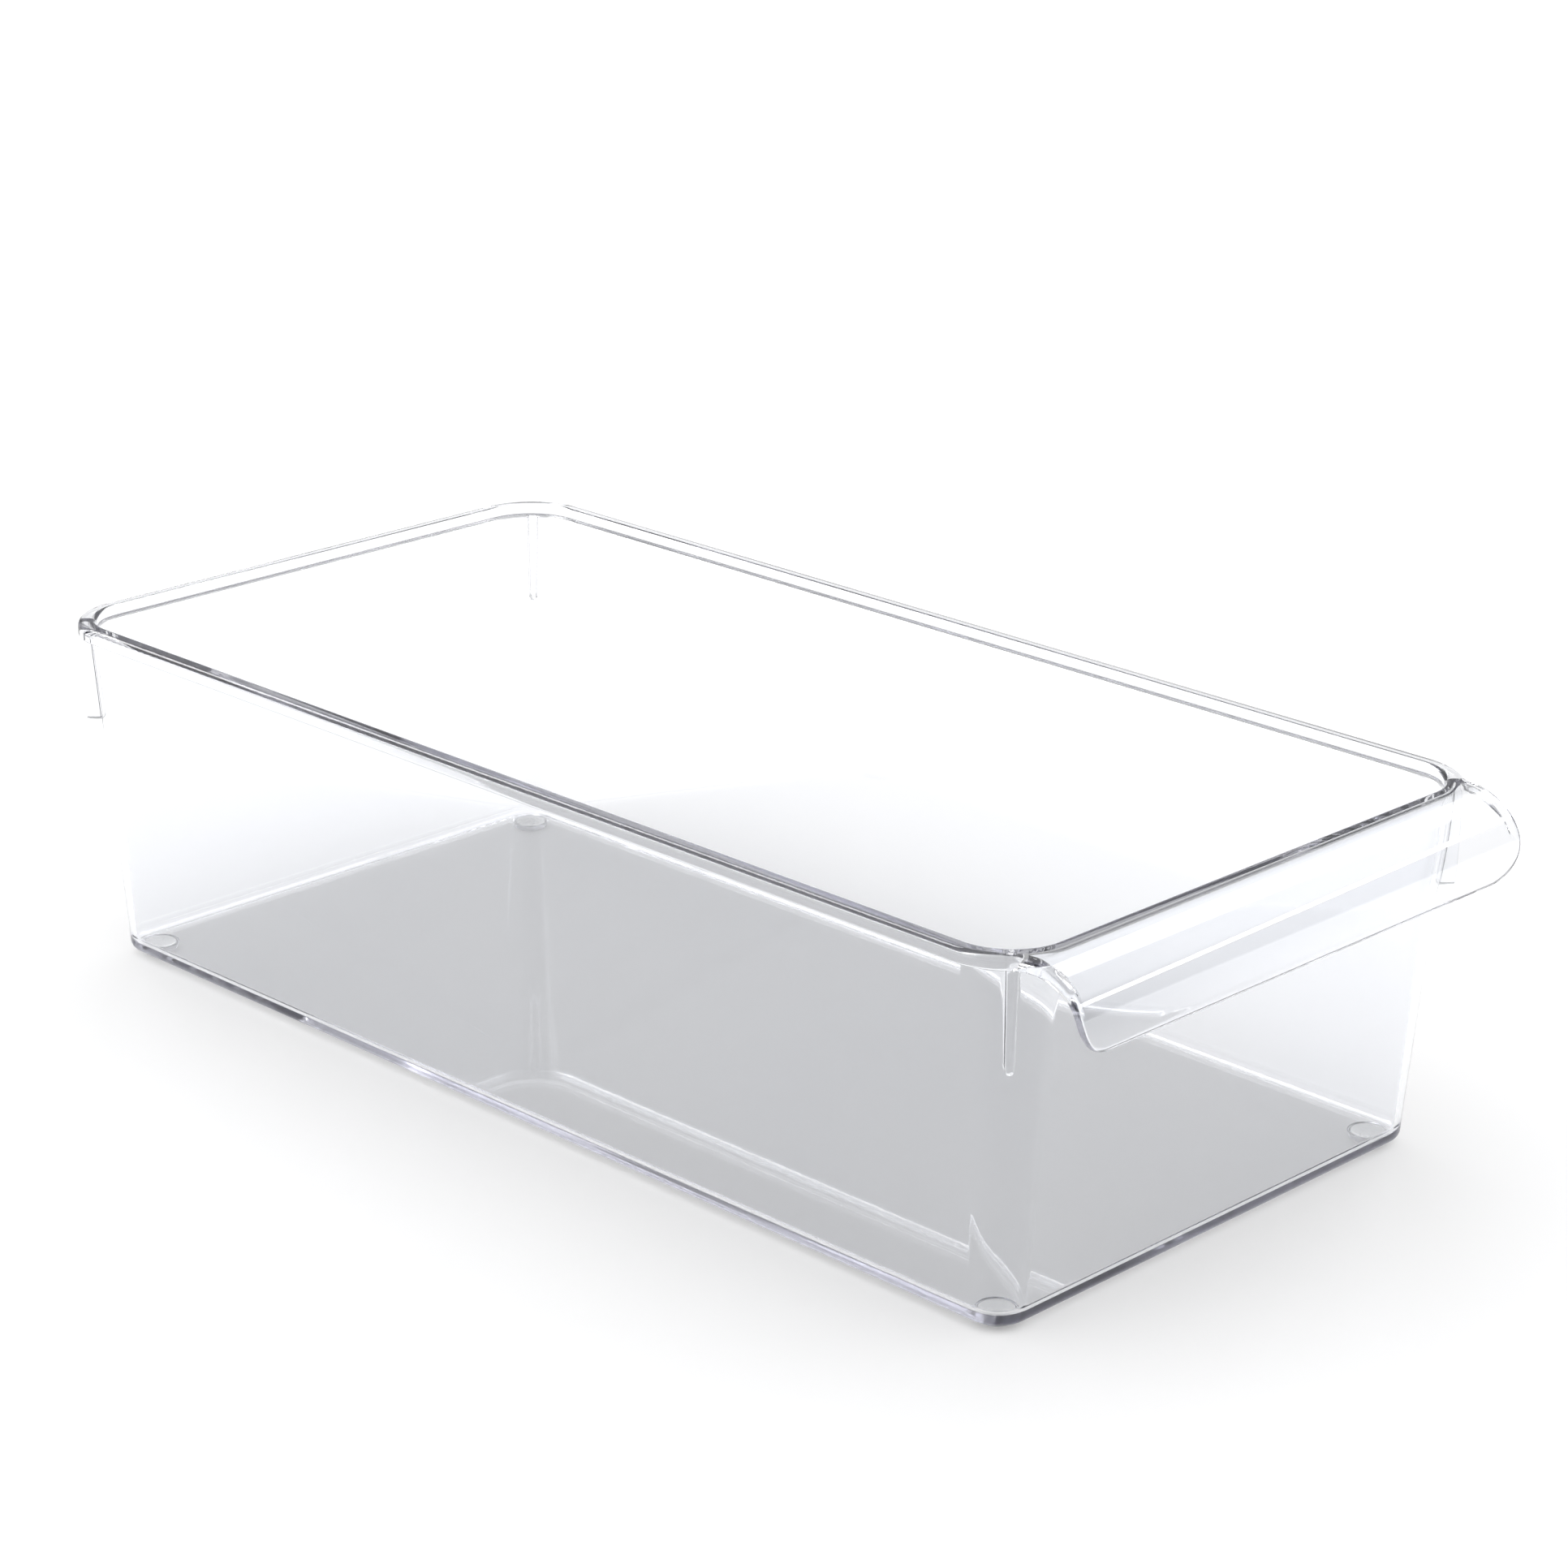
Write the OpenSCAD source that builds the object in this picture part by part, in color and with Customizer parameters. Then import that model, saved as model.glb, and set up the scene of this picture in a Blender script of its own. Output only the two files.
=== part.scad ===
// Clear open-top fridge bin with a full-width curved pull handle on its front end.
// Millimetres. The origin is on the shelf, under the centre of the bin's overall outline.
// +Z is up, -Y is the front (handle) end, +X is to the right of someone pulling the bin.

/* [Tub] */
// Outside width of the tub at its floor
base_w = 152.4; // [130:0.1:200]
// Outside length of the tub at its floor
base_l = 319.8; // [240:0.1:380]
// Height of the rim above the shelf
height = 95; // [84:0.5:150]
// How far each wall leans outward between floor and rim
lean = 7.3; // [5:0.1:8]
// Outside radius of the upright corners at the floor
base_corner_r = 8.6; // [8.5:0.1:10]
// Thickness of the walls
wall_t = 2; // [1.8:0.1:2.6]
// Thickness of the floor
floor_t = 2.2; // [1.8:0.1:3]
// Outside radius between floor and walls
edge_r = 2.4; // [1.5:0.1:2.8]
// Inside radius between floor and walls
fillet_r = 2.6; // [1.5:0.1:4]

/* [Rim] */
// How far the rim stands out beyond the walls
rim_out = 2.9; // [2.8:0.1:3.6]
// Depth of the rim's outer face below its crest
rim_h = 3.8; // [3.7:0.1:5]
// Radius of the rim's inner shoulder
shoulder_in_r = 1.6; // [1:0.1:1.7]
// Radius of the rim's outer shoulder
shoulder_out_r = 1.6; // [1.2:0.1:2.7]
// Radius of the rim's lower outer edge
rim_edge_r = 0.6; // [0.3:0.1:0.8]

/* [Handle] */
// How far in from the rim's side faces the handle's side edges are
handle_inset = 6.8; // [6:0.1:7.5]
// Level run between the front wall's outer face and the start of the curl
handle_run = 1.5; // [0.5:0.1:2.5]
// Outside radius of the handle's curl, seen from the side
handle_r = 14.5; // [12:0.5:18]
// Thickness of the handle's sheet
handle_t = 2; // [1.6:0.1:2.4]
// How far the curl runs on below level, in degrees
handle_curl = 19; // [15:1:40]
// Width of the thickened border on the handle's side edges
border_w = 3.2; // [2.4:0.1:4]
// How far below level the border thins out to nothing, in degrees
border_end = 5; // [2:1:12]
// Radius of the handle's two lower corners
handle_corner_r = 10.5; // [8:0.5:12]
// Radius in plan where the handle's side edges meet the rim's corners
handle_blend_r = 8; // [5:0.5:10]
// Radius under the handle where its sheet meets the front wall
handle_root_r = 1.5; // [0.8:0.1:2]

/* [Corner ribs] */
// Width of each rib under the rim
rib_top_w = 2.8; // [2:0.1:4]
// Width of each rib near its lower end
rib_bottom_w = 2; // [1.4:0.1:2.6]
// Height of each rib's lower end above the shelf
rib_bottom_z = 66.5; // [50:0.5:72]
// How far each rib stands out beyond the wall at the height of the rim
rib_out = 1.7; // [1:0.1:2]

/* [Feet] */
// Diameter of each foot
foot_d = 9.5; // [8:0.5:10]
// Gap between the shelf and the tub's underside
foot_lift = 1.6; // [1:0.1:3]
// Bevel around each foot's lower edge
foot_bevel = 0.3; // [0.2:0.1:0.5]
// How far each foot sits in from its corner's axis, along both sides of the tub
foot_inset = 0; // [0:0.5:10]
// Depth of the round seat moulded into the underside for each foot
seat_depth = 0.5; // [0.4:0.1:0.8]
// Gap around each foot in its seat
seat_gap = 0.3; // [0.2:0.05:0.4]
// Thickness of the adhesive disc that holds each foot
adhesive_t = 0.2; // [0.15:0.05:0.3]
// How far the adhesive disc stops short of the foot's edge
adhesive_margin = 0.5; // [0.2:0.1:1]

/* [Hidden] */
$fn = 96;

clear_plastic = [0.93, 0.95, 0.95, 0.35];
clear_elastomer = [0.84, 0.86, 0.86, 0.7];
clear_adhesive = [0.9, 0.9, 0.86, 0.6];

// How far cutting bodies run past the material they cut
over = 2;
// How far the concave arc beside the handle cuts into the rim's ring where the two meet
blend_bite = 0.05;

// The tub's corner axes: every corner is a surface of revolution about one of these
axis_x = base_w / 2 - base_corner_r;
axis_y = base_l / 2 - base_corner_r;

underside_z = foot_lift;
floor_z = foot_lift + floor_t;
wall_run = height - underside_z;
lean_angle = atan(lean / wall_run);

// Distance from a corner axis out to the wall's outer or inner face at height z
function outer_face(z) = base_corner_r + lean * (z - underside_z) / wall_run;
function inner_face(z) = outer_face(z) - wall_t;

rim_face = outer_face(height) + rim_out;
rim_base_z = height - rim_h;

handle_w = 2 * (axis_x + rim_face - handle_inset);
handle_axis_y = axis_y + outer_face(height) + handle_run;
handle_axis_z = height - handle_r;
handle_mid_r = handle_r - handle_t / 2;
handle_tip_z = handle_axis_z - handle_mid_r * sin(handle_curl) - handle_t / 2;

seat_z = underside_z + seat_depth;
foot_top_z = seat_z - adhesive_t;
foot_x = axis_x - foot_inset;
foot_y = axis_y - foot_inset;
adhesive_d = foot_d - 2 * adhesive_margin;

// The tub's centre is this far behind the origin, because only the front end has a handle
tub_y = (handle_axis_y + handle_r - axis_y - rim_face) / 2;

// ---- 2D helpers: x is the distance out from a corner axis, y is the height ----

// Area from the corner axis out to a leaning wall face, with its lower outer corner rounded
module leaning_area(face, bottom_z, top_z, r) {
    rise = top_z - bottom_z;
    centre_x = face + r * (sin(lean_angle) - 1) / cos(lean_angle);
    polygon([[0, bottom_z],
             [centre_x, bottom_z],
             [centre_x + r * cos(lean_angle), bottom_z + r - r * sin(lean_angle)],
             [face + rise * tan(lean_angle), top_z],
             [0, top_z]]);
    translate([centre_x, bottom_z + r])
        circle(r);
}

// What is cut away outside a rounded corner whose arc is centred at [x, y];
// side is [1, 1] for a corner that points right and up
module corner_cut(x, y, r, side) {
    reach = r + over;
    translate([x, y])
        difference() {
            polygon([[0, 0],
                     [side[0] * reach, 0],
                     [side[0] * reach, side[1] * reach],
                     [0, side[1] * reach]]);
            circle(r);
        }
}

// Wall and floor, from the corner axis outward
module wall_section() {
    difference() {
        leaning_area(base_corner_r, underside_z, height, edge_r);
        leaning_area(inner_face(floor_z), floor_z, height + over, fillet_r);
    }
}

// Rounds the rim's inner shoulder, tangent to the top and to the leaning inner face
module inner_shoulder_cut() {
    centre_x = inner_face(height) + shoulder_in_r * (1 - sin(lean_angle)) / cos(lean_angle);
    corner_cut(centre_x, height - shoulder_in_r, shoulder_in_r, [-1, 1]);
}

// Wall, floor and outward rim
module rim_section() {
    difference() {
        union() {
            wall_section();
            translate([inner_face(height) + wall_t / 2, rim_base_z])
                square([rim_face - inner_face(height) - wall_t / 2, rim_h]);
        }
        inner_shoulder_cut();
        corner_cut(rim_face - shoulder_out_r, height - shoulder_out_r, shoulder_out_r, [1, 1]);
        corner_cut(rim_face - rim_edge_r, rim_base_z + rim_edge_r, rim_edge_r, [1, -1]);
    }
}

// Wall and floor only, for the front end, where the handle takes the place of the rim
module front_section() {
    difference() {
        wall_section();
        inner_shoulder_cut();
    }
}

// ---- 2D handle shapes ----

// The curled sheet from the side: x is the distance forward of the origin, y is the height
module handle_sheet_profile() {
    reach = 2 * handle_r;
    root_x = axis_y + outer_face(height - handle_t);
    translate([handle_axis_y, handle_axis_z])
        difference() {
            circle(handle_r);
            circle(handle_r - handle_t);
            // Everything behind the top of the curl
            translate([-reach, -reach])
                square([reach, 2 * reach]);
            // Everything beyond the curl's end
            polygon([[0, 0],
                     [reach * cos(handle_curl), -reach * sin(handle_curl)],
                     [0, -reach]]);
        }
    // Rounded tip
    translate([handle_axis_y + handle_mid_r * cos(handle_curl),
               handle_axis_z - handle_mid_r * sin(handle_curl)])
        circle(handle_t / 2);
    // Flat top that joins the curl to the front wall
    translate([axis_y + inner_face(height) + shoulder_in_r, height - handle_t])
        square([handle_axis_y - axis_y - inner_face(height) - shoulder_in_r, handle_t]);
    // Radius under the root
    difference() {
        translate([root_x - wall_t / 2, height - handle_t - handle_root_r])
            square([wall_t / 2 + handle_root_r, handle_root_r + handle_t / 2]);
        translate([root_x + handle_root_r, height - handle_t - handle_root_r])
            circle(handle_root_r);
    }
}

// The thick border from the side: as deep as the rim at the top, running out to nothing below
module handle_border_profile() {
    reach = 2 * handle_r;
    depth_z = handle_axis_z - handle_r * sin(border_end);
    half_chord = handle_r * cos(border_end);
    drop = rim_base_z - depth_z;
    // Radius of the arc through the rim's lower edge and the border's end
    inner_r = (half_chord * half_chord + drop * drop) / (2 * drop);
    difference() {
        translate([handle_axis_y, handle_axis_z])
            circle(handle_r);
        translate([handle_axis_y, rim_base_z - inner_r])
            circle(inner_r);
        translate([handle_axis_y - reach, 0])
            square([reach, height + over]);
        translate([handle_axis_y - over, 0])
            square([reach, depth_z]);
    }
}

// Everything under the handle's outer surface, from the side
module under_curl_profile() {
    square([handle_axis_y, height]);
    translate([handle_axis_y, handle_axis_z])
        circle(handle_r);
}

// Handle seen from the front, with its lower corners rounded
module handle_front() {
    half_w = handle_w / 2;
    corner_z = handle_tip_z + handle_corner_r;
    translate([-half_w, corner_z])
        square([2 * half_w, height]);
    translate([-half_w + handle_corner_r, handle_tip_z - over])
        square([2 * (half_w - handle_corner_r), height]);
    for (side = [-1, 1])
        translate([side * (half_w - handle_corner_r), corner_z])
            circle(handle_corner_r);
}

// Fills the inside angle between a rim corner and the handle's side edge, seen from above,
// with the corner's axis at the origin and y forward
module side_blend() {
    edge_x = handle_w / 2 - axis_x;
    inner_x = edge_x - border_w;
    blend_x = edge_x + handle_blend_r;
    reach = rim_face + handle_blend_r - blend_bite;
    blend_y = sqrt(reach * reach - blend_x * blend_x);
    difference() {
        union() {
            // Forward to the start of the curl
            square([edge_x, handle_axis_y - axis_y]);
            // Out to the concave arc, which runs into the ring and is tangent to the side edge
            polygon([[inner_x, inner_x * blend_y / blend_x],
                     [blend_x, blend_y],
                     [inner_x, blend_y]]);
        }
        circle(rim_face - wall_t);
        translate([blend_x, blend_y])
            circle(handle_blend_r);
    }
}

// ---- 3D shapes ----

// Carries a profile once around the tub: four corners and the straight sides named in sides
module around_corners() {
    for (corner = [[1, 1, 0], [-1, 1, 90], [-1, -1, 180], [1, -1, 270]])
        translate([corner[0] * axis_x, corner[1] * axis_y, 0])
            rotate([0, 0, corner[2]])
                rotate_extrude(angle = 90)
                    children();
}

// A straight run of a profile, facing outward at a heading: 0 is +X, 90 is +Y
module straight_side(heading, axis_distance, run) {
    rotate([0, 0, heading])
        translate([axis_distance, run / 2, 0])
            rotate([90, 0, 0])
                linear_extrude(height = run)
                    children();
}

// Carries a side view, drawn x forward and y up, across the tub, centred on x = 0
module across_tub(width) {
    translate([width / 2, 0, 0])
        rotate([0, 0, -90])
            rotate([90, 0, 0])
                linear_extrude(height = width)
                    children();
}

// Carries a front view, drawn x right and y up, forward from the tub's middle
module forward() {
    rotate([90, 0, 0])
        linear_extrude(height = handle_axis_y + handle_r + over)
            children();
}

// Curled sheet with a thick border down each side edge
module handle() {
    intersection() {
        union() {
            across_tub(handle_w)
                handle_sheet_profile();
            for (side = [-1, 1])
                translate([side * (handle_w - border_w) / 2, 0, 0])
                    across_tub(border_w)
                        handle_border_profile();
        }
        forward()
            handle_front();
    }
}

// Concave corners where the handle's side edges leave the rim
module side_blends() {
    intersection() {
        for (side = [0, 1])
            mirror([side, 0, 0])
                translate([axis_x, -axis_y, rim_base_z])
                    mirror([0, 1, 0])
                        linear_extrude(height = rim_h)
                            side_blend();
        across_tub(2 * (axis_x + rim_face))
            under_curl_profile();
    }
}

// One nesting rib, standing on a corner's diagonal, its lower end rounded
module corner_rib() {
    tip_r = rib_bottom_w / 2;
    root = outer_face(rib_bottom_z) - wall_t / 2;
    reach = outer_face(height) + rib_out;
    difference() {
        translate([root, 0, 0])
            rotate([90, 0, 90])
                linear_extrude(height = reach - root) {
                    polygon([[-tip_r, rib_bottom_z + tip_r],
                             [tip_r, rib_bottom_z + tip_r],
                             [rib_top_w / 2, rim_base_z + rim_h / 2],
                             [-rib_top_w / 2, rim_base_z + rim_h / 2]]);
                    translate([0, rib_bottom_z + tip_r])
                        circle(tip_r);
                }
        // Nothing inside the middle of the wall
        translate([0, 0, rib_bottom_z])
            cylinder(r1 = root, r2 = outer_face(height) - wall_t / 2, h = height - rib_bottom_z);
    }
}

module corner_ribs() {
    for (corner = [[1, 1, 45], [-1, 1, 135], [-1, -1, 225], [1, -1, 315]])
        translate([corner[0] * axis_x, corner[1] * axis_y, 0])
            rotate([0, 0, corner[2]])
                corner_rib();
}

module foot_seats() {
    for (x = [-foot_x, foot_x], y = [-foot_y, foot_y])
        translate([x, y, underside_z - over])
            cylinder(d = foot_d + 2 * seat_gap, h = over + seat_depth);
}

// The one-piece moulding: floor, walls, rim, corner ribs and handle
module tub() {
    color(clear_plastic)
        translate([0, tub_y, 0])
            difference() {
                union() {
                    translate([-axis_x, -axis_y, underside_z])
                        cube([2 * axis_x, 2 * axis_y, floor_t]);
                    around_corners()
                        rim_section();
                    for (heading = [0, 180])
                        straight_side(heading, axis_x, 2 * axis_y)
                            rim_section();
                    straight_side(90, axis_y, 2 * axis_x)
                        rim_section();
                    straight_side(270, axis_y, 2 * axis_x)
                        front_section();
                    corner_ribs();
                    side_blends();
                    handle();
                }
                foot_seats();
            }
}

// Short clear disc, bevelled around its lower edge; x and y are -1 or 1
module foot(x, y) {
    color(clear_elastomer)
        translate([x * foot_x, tub_y + y * foot_y, 0])
            rotate_extrude()
                polygon([[0, 0],
                         [foot_d / 2 - foot_bevel, 0],
                         [foot_d / 2, foot_bevel],
                         [foot_d / 2, foot_top_z],
                         [0, foot_top_z]]);
}

// Thin disc of transfer adhesive between a foot and its seat
module foot_adhesive(x, y) {
    color(clear_adhesive)
        translate([x * foot_x, tub_y + y * foot_y, foot_top_z])
            cylinder(d = adhesive_d, h = adhesive_t);
}

tub();
foot(-1, -1);  // foot_front_left
foot(1, -1);  // foot_front_right
foot(-1, 1);  // foot_rear_left
foot(1, 1);  // foot_rear_right
foot_adhesive(-1, -1);  // foot_adhesive_front_left
foot_adhesive(1, -1);  // foot_adhesive_front_right
foot_adhesive(-1, 1);  // foot_adhesive_rear_left
foot_adhesive(1, 1);  // foot_adhesive_rear_right
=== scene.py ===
"""Clear fridge bin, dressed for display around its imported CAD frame.

The visible tub is one closed mesh: its wall, floor and rim are a section carried round the tub, and at
the front the same section opens out into the curled pull handle. Lengths in this file are millimetres
until they reach a mesh, where they become metres.
"""

import math

import bpy
import numpy as np
from mathutils import Matrix, Vector, geometry


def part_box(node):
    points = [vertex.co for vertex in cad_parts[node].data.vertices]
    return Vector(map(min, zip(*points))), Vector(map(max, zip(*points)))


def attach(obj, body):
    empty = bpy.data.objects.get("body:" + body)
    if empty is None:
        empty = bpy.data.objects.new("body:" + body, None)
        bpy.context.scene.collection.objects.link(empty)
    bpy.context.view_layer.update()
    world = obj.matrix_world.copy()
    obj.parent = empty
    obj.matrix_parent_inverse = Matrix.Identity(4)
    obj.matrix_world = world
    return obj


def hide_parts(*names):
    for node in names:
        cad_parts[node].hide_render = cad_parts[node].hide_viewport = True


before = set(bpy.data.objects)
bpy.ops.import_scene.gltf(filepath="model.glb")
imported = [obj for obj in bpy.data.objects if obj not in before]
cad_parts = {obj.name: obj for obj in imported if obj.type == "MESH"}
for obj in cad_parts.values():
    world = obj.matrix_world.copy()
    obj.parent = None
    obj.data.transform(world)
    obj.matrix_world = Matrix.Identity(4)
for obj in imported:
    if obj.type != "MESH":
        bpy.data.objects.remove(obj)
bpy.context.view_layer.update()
MM = 0.001

# ---- Sizes of the moulding, as in the CAD ----
BASE_CORNER_R = 8.6
LEAN = 7.3
WALL_T, FLOOR_T = 2.0, 2.2
EDGE_R, FILLET_R = 2.4, 2.6
RIM_OUT, RIM_H = 2.9, 3.8
SHOULDER_IN_R, SHOULDER_OUT_R, RIM_EDGE_R = 1.6, 1.6, 0.6
HANDLE_R, HANDLE_T, HANDLE_CURL, HANDLE_RUN = 14.5, 2.0, 19.0, 1.5
HANDLE_INSET, BORDER_W, HANDLE_CORNER_R, HANDLE_BLEND_R = 6.8, 3.2, 10.5, 8.0
BORDER_END = 5.0
HANDLE_ROOT_R, RIM_ROOT_R = 1.5, 0.5
RIB_TOP_W, RIB_BOTTOM_W, RIB_BOTTOM_Z, RIB_OUT = 2.8, 2.0, 66.5, 1.7
SEAT_GAP, SEAT_POINTS = 0.3, 72

# ---- Places, from the frame ----
tub_lo, tub_hi = (np.array(v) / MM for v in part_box("tub"))
foot_lo, foot_hi = (np.array(v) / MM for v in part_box("foot_front_left"))
disc_lo, disc_hi = (np.array(v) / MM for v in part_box("foot_adhesive_front_left"))

UNDERSIDE_Z, TOP_Z = tub_lo[2], tub_hi[2]
FLOOR_Z = UNDERSIDE_Z + FLOOR_T
SEAT_Z = disc_hi[2]
FOOT_D = foot_hi[0] - foot_lo[0]
LEAN_ANGLE = math.atan2(LEAN, TOP_Z - UNDERSIDE_Z)
SIN_L, COS_L, TAN_L = math.sin(LEAN_ANGLE), math.cos(LEAN_ANGLE), math.tan(LEAN_ANGLE)
FACE_TOP = BASE_CORNER_R + LEAN
RIM_FACE = FACE_TOP + RIM_OUT
AXIS_X = tub_hi[0] - RIM_FACE
REAR_AXIS_Y = tub_hi[1] - RIM_FACE
CURL_Y = tub_lo[1] + HANDLE_R
CURL_Z = TOP_Z - HANDLE_R
FRONT_AXIS_Y = CURL_Y + HANDLE_RUN + FACE_TOP


def outer_face(z):
    """Distance from a corner axis to the wall's outer face at height z."""
    return BASE_CORNER_R + TAN_L * (z - UNDERSIDE_Z)


def inner_face(z):
    return outer_face(z) - WALL_T


def smooth(x, lo, hi):
    """0 below lo, 1 above hi, easing between."""
    t = np.clip((np.asarray(x, float) - lo) / (hi - lo), 0.0, 1.0)
    return t * t * (3 - 2 * t)


# ---- Stations: where round the tub the section is drawn ----
# Plan coordinates are x and f, where f runs forward (towards the handle) and f = 0 is y = 0.
CURL_F = -CURL_Y
FRONT_F, REAR_F = -FRONT_AXIS_Y, -REAR_AXIS_Y
EDGE_X = RIM_FACE - HANDLE_INSET
BLEND_X = EDGE_X + HANDLE_BLEND_R
BLEND_F = math.sqrt((RIM_FACE + HANDLE_BLEND_R) ** 2 - BLEND_X ** 2)
BLEND_ANGLE = math.degrees(math.atan2(BLEND_F, BLEND_X))
# Turn of the curl at the sheet's rounded end
END_TURN = math.radians(90 + HANDLE_CURL) + HANDLE_T / (2 * HANDLE_R - HANDLE_T)
# Where, as a heading on the wall's corner, each stretch of the handle's outline starts
SIDE_ANGLE, CORNER_ANGLE = 55.0, 82.0
RIB_ANGLE = 45.0
RIB_REF_W, RIB_REF_D = 1.3, outer_face(82.0)
# Stations beside a rib's side face: offset from the face, and height above the rib's outer face (offset
# below 0, its rounded edge) or above the wall (offset over 0, its root)
RIB_STEPS = ((-0.34, 0.0), (-0.2, -0.04), (-0.1, -0.13), (-0.03, -0.3),
             (0.05, 0.34), (0.13, 0.16), (0.27, 0.04), (0.48, 0.0))
MIDDLE = 99
SHEET_EDGE_R = 0.9


def rib_headings(centre):
    """Headings of the stations that carry a rib, each with its step in RIB_STEPS."""
    found = [(centre, MIDDLE)]
    for side in (-1, 1):
        for k, (offset, _) in enumerate(RIB_STEPS):
            found.append((centre + side * math.degrees(math.asin((RIB_REF_W + offset) / RIB_REF_D)), k))
    return sorted(found)


def lower_corner(a):
    """Point of the handle's lower corner, which is an arc seen from the front, a radians round it."""
    mid_r = HANDLE_R - HANDLE_T / 4
    rise = HANDLE_CORNER_R * (1 - math.sin(a)) / mid_r
    turn = math.acos(math.cos(END_TURN) + rise)
    return np.array([EDGE_X - HANDLE_CORNER_R * (1 - math.cos(a)), CURL_F - FRONT_F + HANDLE_R * turn])


def outline(heading):
    """Outline in the flattened sheet, from the front corner's axis: a point and its inward normal."""
    if heading <= BLEND_ANGLE:
        a = math.radians(heading)
        d = np.array([math.cos(a), math.sin(a)])
        return RIM_FACE * d, -d
    if heading <= SIDE_ANGLE:
        t = (heading - BLEND_ANGLE) / (SIDE_ANGLE - BLEND_ANGLE)
        a = math.radians(BLEND_ANGLE * (1 - t))
        d = np.array([math.cos(a), math.sin(a)])
        return np.array([BLEND_X, BLEND_F]) - HANDLE_BLEND_R * d, -d
    if heading <= CORNER_ANGLE:
        t = (heading - SIDE_ANGLE) / (CORNER_ANGLE - SIDE_ANGLE)
        return np.array([EDGE_X, BLEND_F + t * (lower_corner(0)[1] - BLEND_F)]), np.array([-1.0, 0.0])
    a = math.radians(90 * (heading - CORNER_ANGLE) / (90 - CORNER_ANGLE))
    point = lower_corner(a)
    along = lower_corner(a + 0.001) - lower_corner(a - 0.001)
    along /= np.linalg.norm(along)
    return point, np.array([-along[1], along[0]])


def right_half():
    """Stations from the middle of the back, by the right side, to the middle of the front."""
    rows = []

    def add(axis, heading, point, normal, handle, step):
        a = math.radians(heading)
        rows.append((*axis, math.cos(a), math.sin(a), *point, *normal, handle, step))

    def plain(axis, heading, step=-1):
        a = math.radians(heading)
        d = np.array([math.cos(a), math.sin(a)])
        add(axis, heading, np.array(axis) + RIM_FACE * d, -d, 0.0, step)

    rear = (AXIS_X, REAR_F)
    for x in np.linspace(0, AXIS_X, 7)[:-1]:
        plain((x, REAR_F), -90)
    rib_edge = rib_headings(RIB_ANGLE)[0][0]
    for h in np.linspace(-90, -90 + rib_edge, 15)[:-1]:
        plain(rear, h)
    for h, step in rib_headings(-RIB_ANGLE):
        plain(rear, h, step)
    for h in np.linspace(-rib_edge, 0, 15)[1:]:
        plain(rear, h)
    for f in np.linspace(REAR_F, FRONT_F, 16)[1:-1]:
        plain((AXIS_X, f), 0)
    corner = np.array([AXIS_X, FRONT_F])
    headings = [(h, -1) for h in np.linspace(0, rib_edge, 15)[:-1]] + rib_headings(RIB_ANGLE)
    headings += [(h, -1) for h in np.linspace(headings[-1][0], SIDE_ANGLE, 4)[1:]]
    headings += [(h, -1) for h in np.linspace(SIDE_ANGLE, CORNER_ANGLE, 46)[1:]]
    headings += [(h, -1) for h in np.linspace(CORNER_ANGLE, 90, 40)[1:]]
    for h, step in headings:
        point, normal = outline(h)
        add(corner, h, corner + point, normal, float(smooth(h, BLEND_ANGLE - 1, SIDE_ANGLE)), step)
    end_x = AXIS_X + EDGE_X - HANDLE_CORNER_R
    end_f = CURL_F + HANDLE_R * END_TURN
    for t in np.linspace(1, 0, 12)[1:]:
        add((AXIS_X * t, FRONT_F), 90, (end_x * t, end_f), (0.0, -1.0), 1.0, -1)
    return np.array(rows, float)


half = right_half()
other = half[1:-1][::-1].copy()
other[:, [0, 2, 4, 6]] *= -1
st = np.vstack([half, other])
AXIS, HEAD, EDGE, INWARD = st[:, 0:2], st[:, 2:4], st[:, 4:6], st[:, 6:8]
HANDLE, RIB_STEP = st[:, 8], st[:, 9].astype(int)
N = len(st)
# Way out of each rib: the diagonal of its corner
OUT = np.where((RIB_STEP >= 0)[:, None], np.sign(AXIS) * math.sqrt(0.5), HEAD)


# ---- Section: the same number of points at every station ----
def wall(d, z):
    """Points at distance d from the corner axis, at height z: arrays of shape (k,) or (N, k)."""
    d, z = np.broadcast_to(d, (N, np.shape(d)[-1])), np.broadcast_to(z, (N, np.shape(z)[-1]))
    plan = AXIS[:, None, :] + HEAD[:, None, :] * d[:, :, None]
    return np.concatenate([plan, z[:, :, None]], axis=2)


def rolled(plan, depth):
    """Points of the flattened sheet, at a depth below its outer surface, rolled over the curl."""
    over = np.maximum(plan[:, :, 1] - CURL_F, 0.0) / HANDLE_R
    r = HANDLE_R - depth
    flat = np.minimum(plan[:, :, 1], CURL_F)
    return np.stack([plan[:, :, 0], flat + r * np.sin(over), CURL_Z + r * np.cos(over)], axis=2)


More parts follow.
